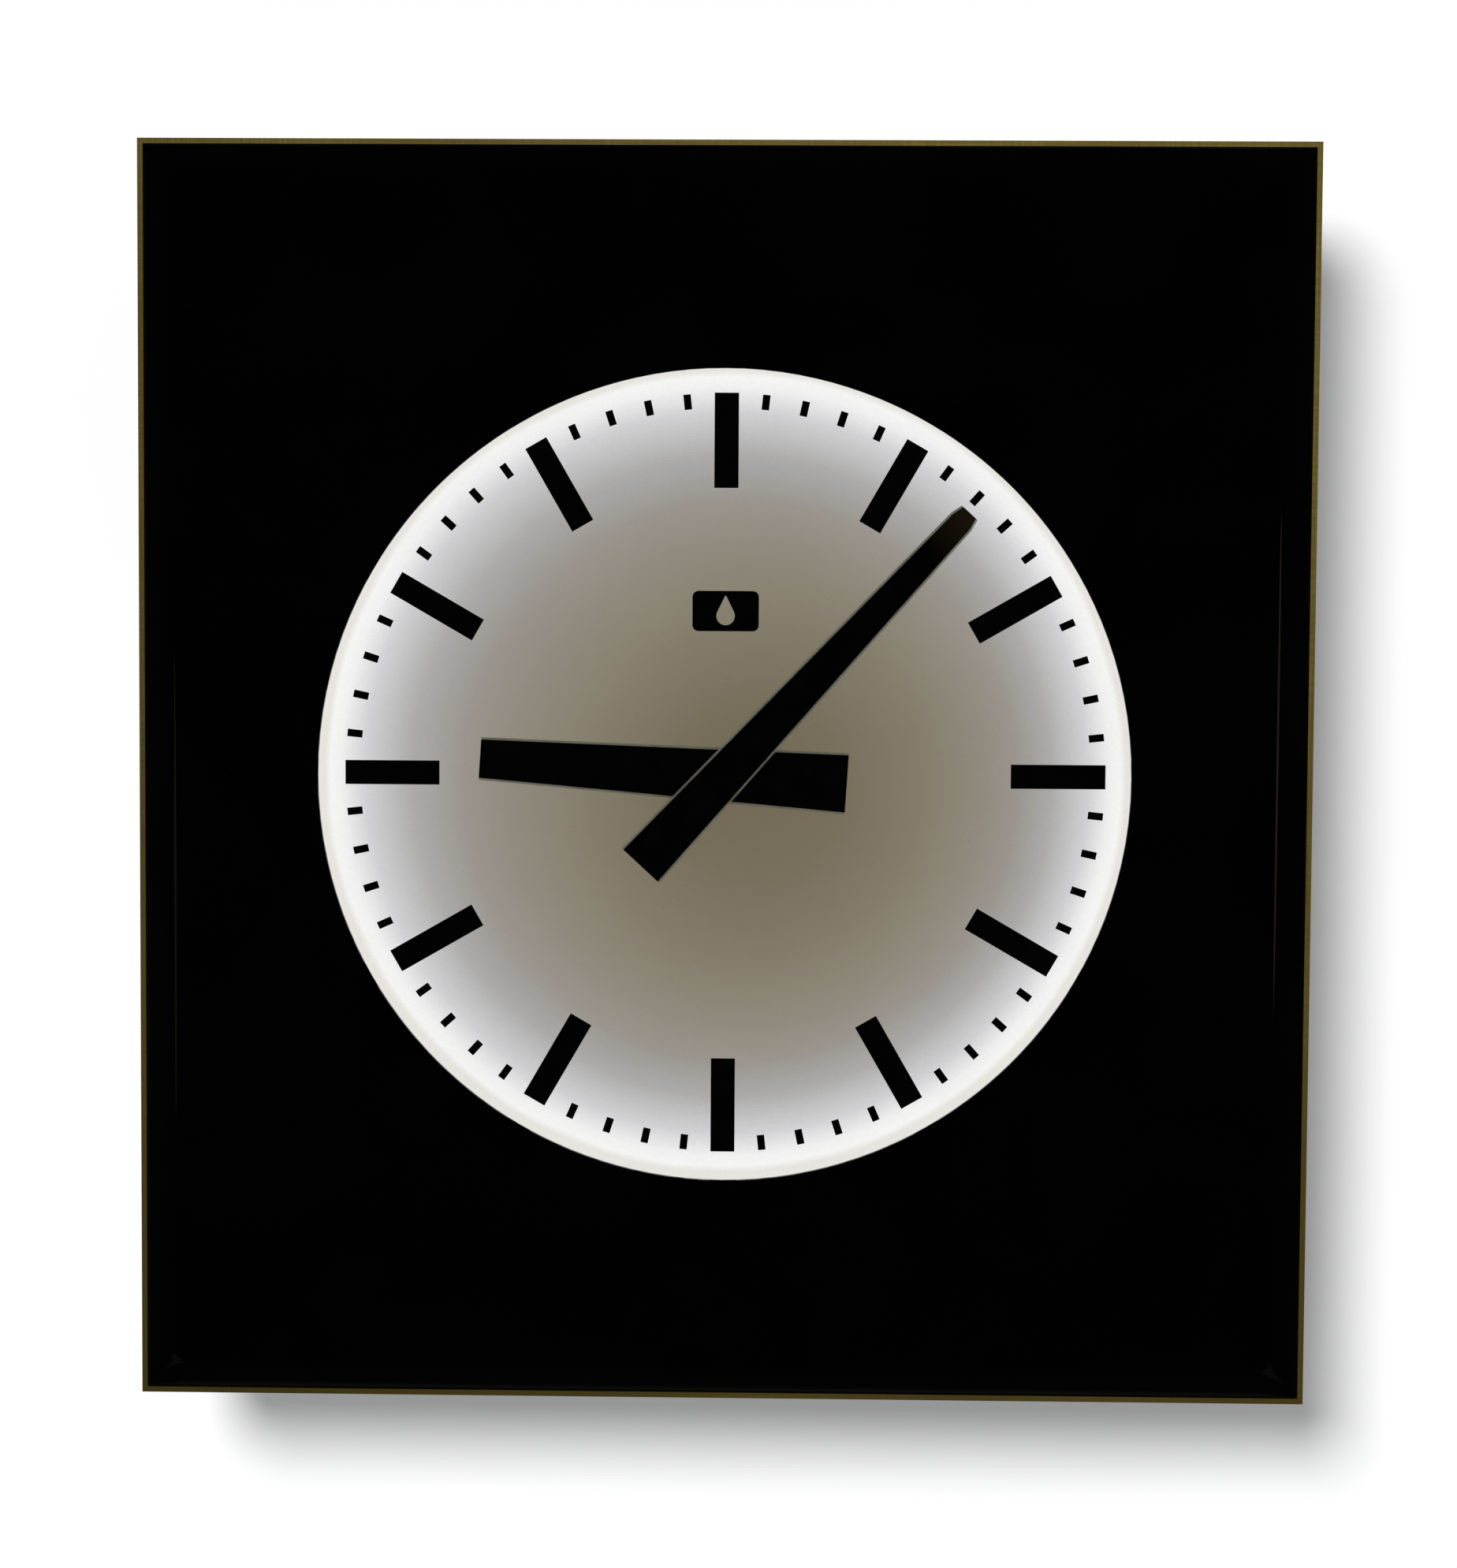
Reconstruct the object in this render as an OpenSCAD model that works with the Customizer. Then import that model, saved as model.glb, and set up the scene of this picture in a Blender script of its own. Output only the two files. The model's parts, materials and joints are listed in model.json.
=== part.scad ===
// Illuminated wall clock with a hinged glazed door, a backlit dial and a
// synchronous movement. Everything is drawn lying on the wall plane: x to the
// right, y up, z out from the wall; stand() then turns it upright, so that the
// front of the clock faces -Y, +Z is up and the wall plane is y = 0.
// The origin is the middle of the wall bolt pattern, on the axis of the dial.

/* [Face] */
// Width over the metal trim, mm
face_w = 581; // [560:1:620]
// Height over the metal trim, mm
face_h = 624; // [610:1:680]
// Diameter of the round opening in the black face, mm
opening_d = 400; // [392:1:406]
// Width of the metal edge seen from the front, mm
trim_t = 2.7; // [2.5:0.1:3.5]
// Width of the border that slopes back to the trim, mm
border_w = 15; // [12:1:20]
// Height of the flat field of the face above the trim, mm
border_rise = 12; // [8:1:12]

/* [Case] */
// Depth of the sheet steel case, mm
case_d = 86; // [84:1:86]
// Sheet thickness of the case, mm
sheet_t = 1.5; // [1.2:0.1:2]
// Spacing of the wall bolts across, mm
bolt_dx = 460; // [440:5:480]
// Spacing of the wall bolts up and down, mm
bolt_dz = 510; // [500:5:530]
// Diameter of the wall bolt holes, mm
bolt_hole_d = 9; // [7:0.5:11]

/* [Dial] */
// Radius of the outer ends of the marks, mm
marks_r = 189.4; // [180:0.2:192]
// Length of an hour mark, mm
hour_mark_l = 47; // [30:0.2:60]
// Width of an hour mark, mm
hour_mark_w = 12; // [6:0.2:14]
// Length of a minute mark, mm
minute_mark_l = 7.5; // [5:0.5:12]
// Width of a minute mark, mm
minute_mark_w = 3.7; // [2:0.1:5]
// Height of the badge above the middle of the dial, mm
badge_y = 81.4; // [70:0.2:95]

/* [Hands] */
// Hour shown at rest
hour_shown = 9; // [0:1:11]
// Minutes shown at rest
minute_shown = 7.1; // [0:0.1:59.9]
// Reach of the minute hand from the pivot, mm
minute_reach = 177.3; // [150:0.1:185]
// Reach of the hour hand from the pivot, mm
hour_reach = 121.7; // [90:0.1:135]
// Length of both tails behind the pivot, mm
tail_reach = 60.9; // [40:0.1:70]

/* [Lamp] */
// Radius of the ring of the circular lamp, mm
lamp_ring_r = 190; // [180:1:195]
// Radius of the lamp tube, mm
lamp_tube_r = 14.5; // [13:0.5:16]

/* [Hidden] */
$fn = 96;
e = 0.01;

// Half sizes of the nested outlines, from the trim inwards
face_x = face_w / 2;
face_y = face_h / 2;
rail_x = face_x - trim_t;
rail_y = face_y - trim_t;
door_gap = 5.8;
case_x = rail_x - door_gap;
case_y = rail_y - door_gap;
rim_w = 14;
vent_reach = 200;
vent_pitch = 50;
vent_l = 34;
vent_h = 4;
vent_z = 60;
panel_play = 0.3;
panel_x = rail_x - panel_play;
panel_y = rail_y - panel_play;

// Heights above the wall plane
rail_z0 = 72;
gasket_t = 3.7;
ledge_z = 90;
ledge_t = 2;
ledge_w = 12;
trim_z = 104;
field_z = trim_z + border_rise;
panel_t = 3;
bend_r = 8;
bend_steps = 6;
pane_t = 3;
pane_z = field_z - panel_t - pane_t;
ring_t = 2;
drum_z = 38;
drum_t = 1.2;
drum_r = 222;
drum_flange_w = 10;
dial_z = 90;
dial_t = 3;
dial_r = 230;
dial_face_z = dial_z + dial_t;
dial_screw_r = 226;
rim_screw_count = 8;
mark_t = 0.4;
badge_w = 33;
badge_h = 20;
badge_corner_r = 3;
window_screw_r = opening_d / 2 + 21;

// Lamp housing
post_x = 140;
post_y = 120;
post_r = 7;
post_bore_z = 24;
lamp_z = 62;
lamp_glass_t = 1;
lamp_gap_angle = 6;
cap_angle = 14;
lamp_pin_r = 1.2;
lamp_pin_x = 5;
lamp_pin_z = 4;
socket_w = 34;
socket_y = -170;
socket_l = 22;
socket_h = 20;
clip_count = 3;
clip_w = 10;
grommet_r = 8;
lead_hole_r = 6;

// Movement
gear_m = 0.8;
motor_teeth = 10;
centre_teeth = 60;
cannon_teeth = 15;
motion_teeth = 45;
motion_pinion_teeth = 12;
hour_teeth = 48;
motion_dx = gear_m * (cannon_teeth + motion_teeth) / 2;
motor_dy = -gear_m * (motor_teeth + centre_teeth) / 2;
motor_r = 21;
motor_shaft_r = 1.5;
back_plate_z = 45;
front_plate_z = 64;
plate_t = 2;
plate_w = 80;
plate_corner_w = 10;
pillar_at = 32;
pillar_r = 4.5;
pillar_neck_r = 3.2;
bridge_z = 80;
bridge_at = 34;
bridge_w = 26;
fit = 0.05;
arbor_tail_r = 2;
motion_stud_r = 2;
motion_wheel_z = 69;
arbor_r = 3.6;
hour_pipe_r = 6.13;
tube_bore_r = hour_pipe_r + fit;
tube_r = 8.5;
tube_top_z = 97;
hour_hand_z = 98.5;
minute_hand_z = 103;
hand_core_t = 1.5;
hand_face_t = 1;
hand_margin = 1.1;
hour_tip_w = 19;
hour_tail_w = 28.4;
minute_tip_w = 11.2;
minute_tail_w = 23.2;
// Corners cut off the tip of the minute hand: how far in from the side, how far back
minute_nip = [1.4, 6];
no_nip = [0, 0];
hour_spigot_r = 5;
minute_spigot_r = 2.5;

// Hinges and latches
hinge_x = -(face_x - 3.5);
hinge_z = 66;
hinge_y = 190;
hinge_l = 50;
knuckle_at = 9;
knuckle_gap = 0.3;
knuckle_r = 3.5;
pin_r = 1.5;
leaf_t = 1.5;
latch_y = 150;
latch_z = 80;
latch_head_r = 7;
latch_reach = 14;
latch_w = 8;
latch_neck_r = 4;
catch_w = 14;
catch_t = 1.5;
catch_z = 66;
catch_lip_z = 84.5;

// Corner keys and the screws in the sides of the frame
key_l = 40;
key_t = 2;
key_z = 76;
key_h = 12;
key_screw_in = 25;
key_screw_z = 82;
face_screw_z = 98;
hinge_screw_z = 79;
hinge_screw_at = 16;
side_screw_l = 6;
upright_screw_y = 200;
cross_screw_x = 150;

// Fasteners
m3_r = 1.5;
m4_r = 2;
m5_r = 2.5;
clearance = 0.1;
wire_r = 1.1;

// Electrical gear along the bottom of the case
gear_y = -268;
ballast_w = 96;
ballast_h = 40;
ballast_d = 32;
ballast_foot_at = 68;
ballast_end = ballast_w / 2 + 13.2;
starter_x = 130;
starter_foot_at = 14;
starter_pin_at = 5;
terminal_x = -120;
terminal_foot_at = 26;
terminal_pitch = 12;
earth_at = [-176, -282];
inlet_at = [-185, -215];
inlet_bore_r = 5;
inlet_neck_r = 8;
inlet_flange_r = 11;
inlet_l = 9.5;
lead_hole_at = [[24, -132], [-46, -62]];

// Angles of the hands, clockwise from twelve
minute_angle = minute_shown * 6;
hour_angle = hour_shown * 30 + minute_shown / 2;

// ---------- helpers ----------

module stand() rotate([90, 0, 0]) children();

module four_ways() for (sx = [-1, 1], sy = [-1, 1]) scale([sx, sy, 1]) children();

module post_sites() four_ways() translate([post_x, post_y, 0]) children();

module pillar_sites() four_ways() translate([pillar_at, pillar_at, 0]) children();

module lead_hole_sites() for (p = lead_hole_at) translate([p[0], p[1], 0]) children();

module block(x, y, z0, z1)
    translate([-x / 2, -y / 2, z0]) cube([x, y, z1 - z0]);

module frame_block(x, y, ix, iy, z0, z1) difference() {
    block(2 * x, 2 * y, z0, z1);
    block(2 * ix, 2 * iy, z0 - 1, z1 + 1);
}

module rod(r, z0, z1) translate([0, 0, z0]) cylinder(r = r, h = z1 - z0);

module pipe(r, bore, z0, z1) difference() {
    rod(r, z0, z1);
    rod(bore, z0 - 1, z1 + 1);
}

module polar(n, r, start = 0)
    for (i = [0:n - 1]) rotate([0, 0, start + i * 360 / n]) translate([r, 0, 0]) children();

module dial_screw_sites() polar(rim_screw_count, dial_screw_r, 180 / rim_screw_count) children();

module window_screw_sites() polar(rim_screw_count, window_screw_r) children();

// Pan head screw: head on plane z = seat, shank going down to z = tip
module pan_screw(r, seat, tip, head_h = 2.2) {
    difference() {
        rod(r * 1.9, seat, seat + head_h);
        block(r * 2.8, 0.8, seat + head_h - 0.9, seat + head_h + 1);
    }
    rod(r, tip, seat + e);
}

module hex_nut(r, bore, z0, z1) difference() {
    translate([0, 0, z0]) cylinder(r = r, h = z1 - z0, $fn = 6);
    rod(bore, z0 - 1, z1 + 1);
}

// Insulated lead running through a list of points
module lead(path, r = wire_r) {
    for (i = [0:len(path) - 2]) {
        d = path[i + 1] - path[i];
        l = norm(d);
        translate(path[i])
            rotate([0, acos(d[2] / l), atan2(d[1], d[0])])
                cylinder(r = r, h = l, $fn = 24);
    }
    for (p = path) translate(p) sphere(r = r, $fn = 24);
}

// Outline of a spur gear with straight-sided teeth, one tooth centred on angle a
function tooth_points(n, m, a) = [
    for (i = [0:n - 1], s = [[-0.27, -1.2], [-0.12, 0.85], [0.12, 0.85], [0.27, -1.2]])
        let (r = m * (n / 2 + s[1]), t = a + (i + s[0]) * 360 / n) [r * cos(t), r * sin(t)]
];

module gear(n, a, bore, z0, z1) difference() {
    translate([0, 0, z0]) linear_extrude(z1 - z0) polygon(tooth_points(n, gear_m, a));
    rod(bore, z0 - 1, z1 + 1);
}

// ---------- case ----------

module case_tray() color([0.72, 0.72, 0.7]) stand() difference() {
    union() {
        block(2 * case_x, 2 * case_y, 0, sheet_t);
        frame_block(case_x, case_y, case_x - sheet_t, case_y - sheet_t, 0, case_d);
        frame_block(case_x, case_y, case_x - rim_w, case_y - rim_w, case_d - sheet_t, case_d);
    }
    four_ways() translate([bolt_dx / 2, bolt_dz / 2, 0]) rod(bolt_hole_d / 2, -1, sheet_t + 1);
    translate([inlet_at[0], inlet_at[1], 0]) rod(inlet_neck_r, -1, sheet_t + 1);
    for (x = [-vent_reach:vent_pitch:vent_reach], s = [-1, 1])
        translate([x, s * case_y, vent_z]) cube([vent_l, 4 * sheet_t, vent_h], center = true);
    gear_screw_sites() rod(m4_r + clearance, -1, sheet_t + 1);
}

module case_gasket() color([0.09, 0.09, 0.09]) stand()
    frame_block(case_x - 1, case_y - 1, case_x - rim_w + 1, case_y - rim_w + 1,
                case_d, case_d + gasket_t);

module cable_grommet() color([0.06, 0.06, 0.06]) stand()
    translate([inlet_at[0], inlet_at[1], 0]) difference() {
        union() {
            rod(inlet_flange_r, sheet_t, sheet_t + 2.5);
            rod(inlet_neck_r, 0, sheet_t + e);
            rod(inlet_neck_r - 1, sheet_t, inlet_l);
        }
        rod(inlet_bore_r, -1, inlet_l + 1);
    }

module earth_stud() color([0.75, 0.6, 0.3]) stand()
    translate([earth_at[0], earth_at[1], 0]) {
        rod(m5_r, sheet_t, 17);
        rod(5.5, sheet_t, sheet_t + 1);
        translate([0, 0, 6]) cylinder(r = 4.6, h = 4, $fn = 6);
    }

module drum_posts() color([0.72, 0.72, 0.7]) stand()
    post_sites() difference() {
        rod(post_r, sheet_t, drum_z);
        rod(m5_r + fit, post_bore_z, drum_z + 1);
    }

// ---------- lamp housing ----------

module reflector_drum() color([0.93, 0.93, 0.9]) stand() difference() {
    rotate_extrude() polygon([
        [0, drum_z], [drum_r, drum_z], [drum_r, dial_z - drum_t],
        [drum_r + drum_flange_w, dial_z - drum_t], [drum_r + drum_flange_w, dial_z],
        [drum_r - drum_t, dial_z], [drum_r - drum_t, drum_z + drum_t], [0, drum_z + drum_t]
    ]);
    post_sites() rod(m5_r + clearance, drum_z - 1, drum_z + 2);
    pillar_sites() rod(m3_r + clearance, drum_z - 1, drum_z + 2);
    dial_screw_sites() rod(m4_r + clearance, dial_z - 3, dial_z + 1);
    lead_hole_sites() rod(lead_hole_r, drum_z - 1, drum_z + 2);
}

module drum_screws() color([0.7, 0.7, 0.72]) stand()
    post_sites() pan_screw(m5_r, drum_z + drum_t, post_bore_z + 2, 3);

module lead_grommets() color([0.06, 0.06, 0.06]) stand()
    lead_hole_sites() {
        pipe(lead_hole_r, 3.6, drum_z, drum_z + drum_t);
        pipe(grommet_r, 3.6, drum_z + drum_t, drum_z + drum_t + 1.8);
        pipe(grommet_r, 3.6, drum_z - 1.8, drum_z);
    }

module lamp_tube() color([0.96, 0.96, 0.93]) stand()
    translate([0, 0, lamp_z]) rotate([0, 0, lamp_gap_angle / 2 - 90])
        rotate_extrude(angle = 360 - lamp_gap_angle) translate([lamp_ring_r, 0]) difference() {
            circle(lamp_tube_r);
            circle(lamp_tube_r - lamp_glass_t);
        }

module lamp_pin_sites() for (x = [-lamp_pin_x, lamp_pin_x], z = [-lamp_pin_z, lamp_pin_z])
    translate([x, 0, z]) children();

module lamp_cap() color([0.9, 0.9, 0.88]) stand() translate([0, 0, lamp_z]) {
    rotate([0, 0, -90 - cap_angle / 2]) rotate_extrude(angle = cap_angle)
        translate([lamp_ring_r, 0]) difference() {
            circle(lamp_tube_r + 2.2);
            circle(lamp_tube_r + 0.2);
        }
    rotate([0, 0, 1 - lamp_gap_angle / 2 - 90]) rotate_extrude(angle = lamp_gap_angle - 2)
        translate([lamp_ring_r, 0]) circle(lamp_tube_r + 1);
    lamp_pin_sites() translate([0, lamp_tube_r - lamp_ring_r - 1, 0]) rotate([-90, 0, 0])
        cylinder(r = lamp_pin_r, h = 12.5, $fn = 32);
}

module lamp_socket() color([0.92, 0.92, 0.9]) stand() {
    foot_y = socket_y + socket_l - 4;
    difference() {
        translate([-socket_w / 2, socket_y, lamp_z - socket_h / 2])
            cube([socket_w, socket_l, socket_h]);
        lamp_pin_sites() translate([0, socket_y - 1, lamp_z]) rotate([-90, 0, 0])
            cylinder(r = lamp_pin_r + 0.15, h = 10, $fn = 32);
    }
    translate([-12, foot_y, drum_z + drum_t]) cube([24, 2, lamp_z - socket_h / 2 - drum_z]);
    translate([-12, foot_y, drum_z + drum_t]) cube([24, 14, 1.5]);
}

module lamp_clips() color([0.8, 0.8, 0.82]) stand() polar(clip_count, lamp_ring_r, 90) {
    translate([0, clip_w / 2, lamp_z]) rotate([90, 0, 0]) linear_extrude(clip_w) difference() {
        circle(lamp_tube_r + 1.3);
        circle(lamp_tube_r + 0.3);
        translate([-8, 6]) square([16, 20]);
    }
    block(6, clip_w, drum_z + drum_t, lamp_z - lamp_tube_r - 0.7);
    block(26, clip_w, drum_z + drum_t, drum_z + drum_t + 1);
}

// ---------- electrical gear ----------

module gear_screw_sites() {
    for (s = [-1, 1], x = [s * ballast_foot_at, terminal_x + s * terminal_foot_at,
                           starter_x + s * starter_foot_at])
        translate([x, gear_y, 0]) children();
}

module ballast() color([0.3, 0.31, 0.33]) stand() translate([0, gear_y, 0]) difference() {
    union() {
        block(ballast_w, ballast_h, sheet_t + 1.5, sheet_t + ballast_d);
        block(ballast_w + 24, ballast_h - 12, sheet_t + 1.5, sheet_t + ballast_d - 5);
        block(2 * ballast_foot_at + 16, 24, sheet_t, sheet_t + 1.5);
    }
    for (x = [-ballast_foot_at, ballast_foot_at])
        translate([x, 0, 0]) rod(m4_r + clearance, sheet_t - 1, sheet_t + 2);
    for (x = [-ballast_w / 4, 0, ballast_w / 4])
        translate([x, 0, sheet_t + ballast_d]) cube([1.2, ballast_h + 2, 1.6], center = true);
}

module starter_socket() color([0.9, 0.9, 0.86]) stand() translate([starter_x, gear_y, 0])
    difference() {
        union() {
            block(38, 16, sheet_t, sheet_t + 1.5);
            rod(12.5, sheet_t + 1, 14);
        }
        rod(11.3, 10, 15);
        for (x = [-starter_foot_at, starter_foot_at]) translate([x, 0, 0]) {
            rod(m4_r + clearance, 0, 4);
            rod(4.2, sheet_t + 1.5, 15);
        }
        for (x = [-starter_pin_at, starter_pin_at]) translate([x, 0, 0]) rod(2.6, 5, 12);
    }

module starter_can() color([0.88, 0.88, 0.84]) stand() translate([starter_x, gear_y, 0]) {
    difference() {
        rod(10.75, 10.3, 44);
        translate([0, 0, 42]) rotate_extrude() translate([10.75, 2]) circle(1.5);
    }
    for (x = [-starter_pin_at, starter_pin_at]) translate([x, 0, 0]) rod(2, 6, 11);
}

module terminal_block() color([0.88, 0.86, 0.78]) stand() translate([terminal_x, gear_y, 0])
    difference() {
        union() {
            block(62, 14, sheet_t, 6);
            for (i = [-1:1]) translate([i * terminal_pitch, 0, 0]) block(10, 20, sheet_t, 16);
            block(30, 12, sheet_t, 13);
        }
        for (x = [-terminal_pitch, 0, terminal_pitch]) {
            translate([x, -11, 10]) rotate([-90, 0, 0]) cylinder(r = 1.8, h = 22, $fn = 32);
            for (y = [-5, 5]) translate([x, y, 0]) rod(1.9, 11, 17);
        }
        for (x = [-terminal_foot_at, terminal_foot_at])
            translate([x, 0, 0]) rod(m4_r + clearance, 0, 7);
    }

module gear_screws() color([0.75, 0.75, 0.77]) stand() {
    for (s = [-1, 1]) {
        translate([s * ballast_foot_at, gear_y, 0]) pan_screw(m4_r, sheet_t + 1.5, 0.1);
        translate([terminal_x + s * terminal_foot_at, gear_y, 0]) pan_screw(m4_r, 6, 0.1);
        translate([starter_x + s * starter_foot_at, gear_y, 0])
            pan_screw(m4_r, sheet_t + 1.5, 0.1);
    }
}

module mains_leads() color([0.35, 0.2, 0.12]) stand() {
    live_x = terminal_x + terminal_pitch;
    earth_x = terminal_x - terminal_pitch;
    lead([[live_x, gear_y + 8, 10], [live_x, gear_y + 18, 10],
          [-66, gear_y + 18, 12], [-ballast_end, gear_y + 4, 12]]);
    lead([[ballast_end, gear_y + 4, 12], [72, gear_y + 17, 12],
          [108, gear_y + 17, 8], [starter_x - 6, gear_y + 12.4, 8]]);
    lead([[earth_x, gear_y - 8, 10], [earth_x, gear_y - 18, 10],
          [-158, gear_y - 20, 9], [earth_at[0] + 3.4, earth_at[1] - 1.4, 12]]);
}

module lamp_leads() color([0.85, 0.85, 0.82]) stand() {
    for (k = [0, 1]) {
        h = lead_hole_at[0];
        lead([[ballast_end, gear_y - 4 - 5 * k, 16 + 4 * k],
              [76 + 4 * k, gear_y + 30 + 4 * k, 16 + 4 * k],
              [h[0] + 4, h[1] - 30 + 8 * k, 20 + 5 * k],
              [h[0] + 1.6 - 3.2 * k, h[1], 30],
              [h[0] + 1.6 - 3.2 * k, h[1], 47 + 3 * k],
              [10 - 5 * k, -146.8, 56 + 4 * k]]);
    }
}

module motor_leads() color([0.15, 0.25, 0.5]) stand() {
    for (k = [0, 1]) {
        h = lead_hole_at[1];
        lead([[terminal_x - terminal_pitch * k, gear_y + 8, 10],
              [terminal_x - terminal_pitch * k, gear_y + 26, 10],
              [h[0] - 20 + 5 * k, h[1] - 30, 18 + 4 * k],
              [h[0] - 1.6 + 3.2 * k, h[1], 28],
              [h[0] - 1.6 + 3.2 * k, h[1], 50 + 2.5 * k],
              [-22.4, motor_dy - 4 + 6 * k, 50 + 2.5 * k]]);
    }
}

// ---------- movement ----------

module movement_plate(z0) difference() {
    block(plate_w, plate_w, z0, z0 + plate_t);
    four_ways() translate([plate_w / 2, plate_w / 2, 0]) rotate([0, 0, 45])
        block(plate_corner_w, plate_corner_w, z0 - 1, z0 + plate_t + 1);
}

module movement_back_plate() color([0.78, 0.64, 0.33]) stand() difference() {
    movement_plate(back_plate_z);
    pillar_sites() rod(pillar_neck_r + fit, back_plate_z - 1, back_plate_z + 3);
    rod(arbor_tail_r + fit, back_plate_z - 1, back_plate_z + 3);
}

module movement_front_plate() color([0.78, 0.64, 0.33]) stand() {
    difference() {
        movement_plate(front_plate_z);
        pillar_sites() rod(m3_r + clearance, front_plate_z - 1, front_plate_z + 3);
        rod(arbor_r + fit, front_plate_z - 1, front_plate_z + 3);
        translate([0, motor_dy, 0])
            rod(motor_shaft_r + fit, front_plate_z - 1, front_plate_z + 3);
    }
    translate([motion_dx, 0, 0]) {
        rod(motion_stud_r, front_plate_z + plate_t - e, bridge_z + plate_t);
        rod(motion_stud_r + 2, front_plate_z + plate_t - e, motion_wheel_z - 0.3);
    }
}

module movement_pillars() color([0.8, 0.66, 0.36]) stand()
    pillar_sites() difference() {
        union() {
            rod(pillar_r, drum_z + drum_t, back_plate_z);
            rod(pillar_neck_r, drum_z + drum_t, front_plate_z);
        }
        rod(m3_r + fit, drum_z, 50);
        rod(m3_r + fit, 54, front_plate_z + 1);
    }

module movement_screws() color([0.72, 0.72, 0.74]) stand()
    pillar_sites() {
        pan_screw(m3_r, front_plate_z + plate_t, front_plate_z + plate_t - 10);
        translate([0, 0, drum_z]) mirror([0, 0, 1]) pan_screw(m3_r, 0, -10);
    }

module motor_can() color([0.75, 0.75, 0.77]) stand() translate([0, motor_dy, 0])
    difference() {
        union() {
            rod(motor_r, back_plate_z + plate_t, 55);
            rod(5, 54, 56);
        }
        rod(motor_shaft_r + fit, 49, 57);
    }

module motor_pinion() color([0.8, 0.66, 0.36]) stand() translate([0, motor_dy, 0]) {
    gear(motor_teeth, 90 + 180 / motor_teeth, 1, 57.5, 61.5);
    rod(motor_shaft_r, 49.3, front_plate_z + plate_t + 0.5);
}

module minute_arbor() color([0.8, 0.66, 0.36]) stand() {
    gear(centre_teeth, -90, 1, 58.2, 60.4);
    gear(cannon_teeth, 0, 1, motion_wheel_z - 0.8, 73.2);
    rod(arbor_tail_r, back_plate_z - 0.5, 60);
    rod(arbor_r, 56, minute_hand_z);
    rod(minute_spigot_r, 100, minute_hand_z + hand_core_t + hand_face_t + 2.1);
}

module motion_wheel() color([0.8, 0.66, 0.36]) stand() translate([motion_dx, 0, 0]) {
    gear(motion_teeth, 180 + 180 / motion_teeth, motion_stud_r + fit,
         motion_wheel_z, motion_wheel_z + 2);
    gear(motion_pinion_teeth, 180, motion_stud_r + fit, motion_wheel_z + 1.5, 77.5);
}

module hour_wheel() color([0.8, 0.66, 0.36]) stand() difference() {
    union() {
        gear(hour_teeth, 180 / hour_teeth, 1, 74, 76);
        rod(hour_pipe_r, 73.6, hour_hand_z);
        rod(hour_spigot_r, 90, hour_hand_z + hand_core_t + hand_face_t + 0.3);
    }
    rod(arbor_r + fit, 70, 110);
}

module dial_bridge() color([0.78, 0.64, 0.33]) stand() difference() {
    union() {
        block(bridge_w, 2 * bridge_at + 12, bridge_z, bridge_z + plate_t);
        translate([0, -8, bridge_z]) cube([motion_dx + 8, 16, plate_t]);
        for (s = [-1, 1]) translate([0, s * bridge_at, 0])
            rod(4, front_plate_z + plate_t, bridge_z + e);
        rod(tube_r, bridge_z, tube_top_z);
    }
    rod(tube_bore_r, bridge_z - 1, tube_top_z + 1);
    translate([motion_dx, 0, 0]) rod(motion_stud_r + fit, bridge_z - 1, bridge_z + 3);
}

module centre_nut() color([0.12, 0.12, 0.12]) stand()
    hex_nut(12, tube_r + fit, dial_face_z, dial_face_z + 3.2);

// ---------- dial ----------

module dial_panel() color([0.93, 0.92, 0.88]) stand() difference() {
    rod(dial_r, dial_z, dial_face_z);
    rod(tube_r + 0.2, dial_z - 1, dial_face_z + 1);
    dial_screw_sites() rod(m4_r + clearance, dial_z - 1, dial_face_z + 1);
}

module mark(l, w) translate([marks_r - l, -w / 2, dial_face_z]) cube([l, w, mark_t]);

module hour_marks() color([0.02, 0.02, 0.02]) stand()
    for (i = [0:11]) rotate([0, 0, i * 30]) mark(hour_mark_l, hour_mark_w);

module minute_marks() color([0.02, 0.02, 0.02]) stand()
    for (i = [0:59]) if (i % 5 != 0) rotate([0, 0, i * 6]) mark(minute_mark_l, minute_mark_w);

// Plain badge: a rounded plate with the outline of a drop cut through it
module badge() color([0.02, 0.02, 0.02]) stand() translate([0, badge_y, dial_face_z])
    linear_extrude(mark_t) difference() {
        hull() for (sx = [-1, 1], sy = [-1, 1])
            translate([sx * (badge_w / 2 - badge_corner_r), sy * (badge_h / 2 - badge_corner_r)])
                circle(badge_corner_r, $fn = 32);
        hull() {
            translate([0, -2.4]) circle(4.6, $fn = 32);
            translate([0, 7.2]) circle(0.4, $fn = 16);
        }
    }

module dial_screws() color([0.7, 0.7, 0.72]) stand()
    dial_screw_sites() pan_screw(m4_r, dial_face_z, 84);

module dial_nuts() color([0.7, 0.7, 0.72]) stand()
    dial_screw_sites() hex_nut(3.9, m4_r + fit, 85.6, dial_z - drum_t);

// ---------- hands ----------

module hand_outline(reach, tip_w, tail_w, margin, nip) {
    tip = tip_w / 2 + margin;
    tail = tail_w / 2 + margin;
    end = nip[0] > 0
        ? [[-tip, reach - nip[1]], [nip[0] - tip, reach], [tip - nip[0], reach], [tip, reach - nip[1]]]
        : [[-tip, reach], [tip, reach]];
    polygon(concat(end, [[tail, -tail_reach], [-tail, -tail_reach]]));
}

module hand(reach, tip_w, tail_w, margin, bore, z0, t, nip = no_nip) difference() {
    translate([0, 0, z0]) linear_extrude(t) hand_outline(reach, tip_w, tail_w, margin, nip);
    rod(bore, z0 - 1, z0 + t + 1);
}

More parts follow.
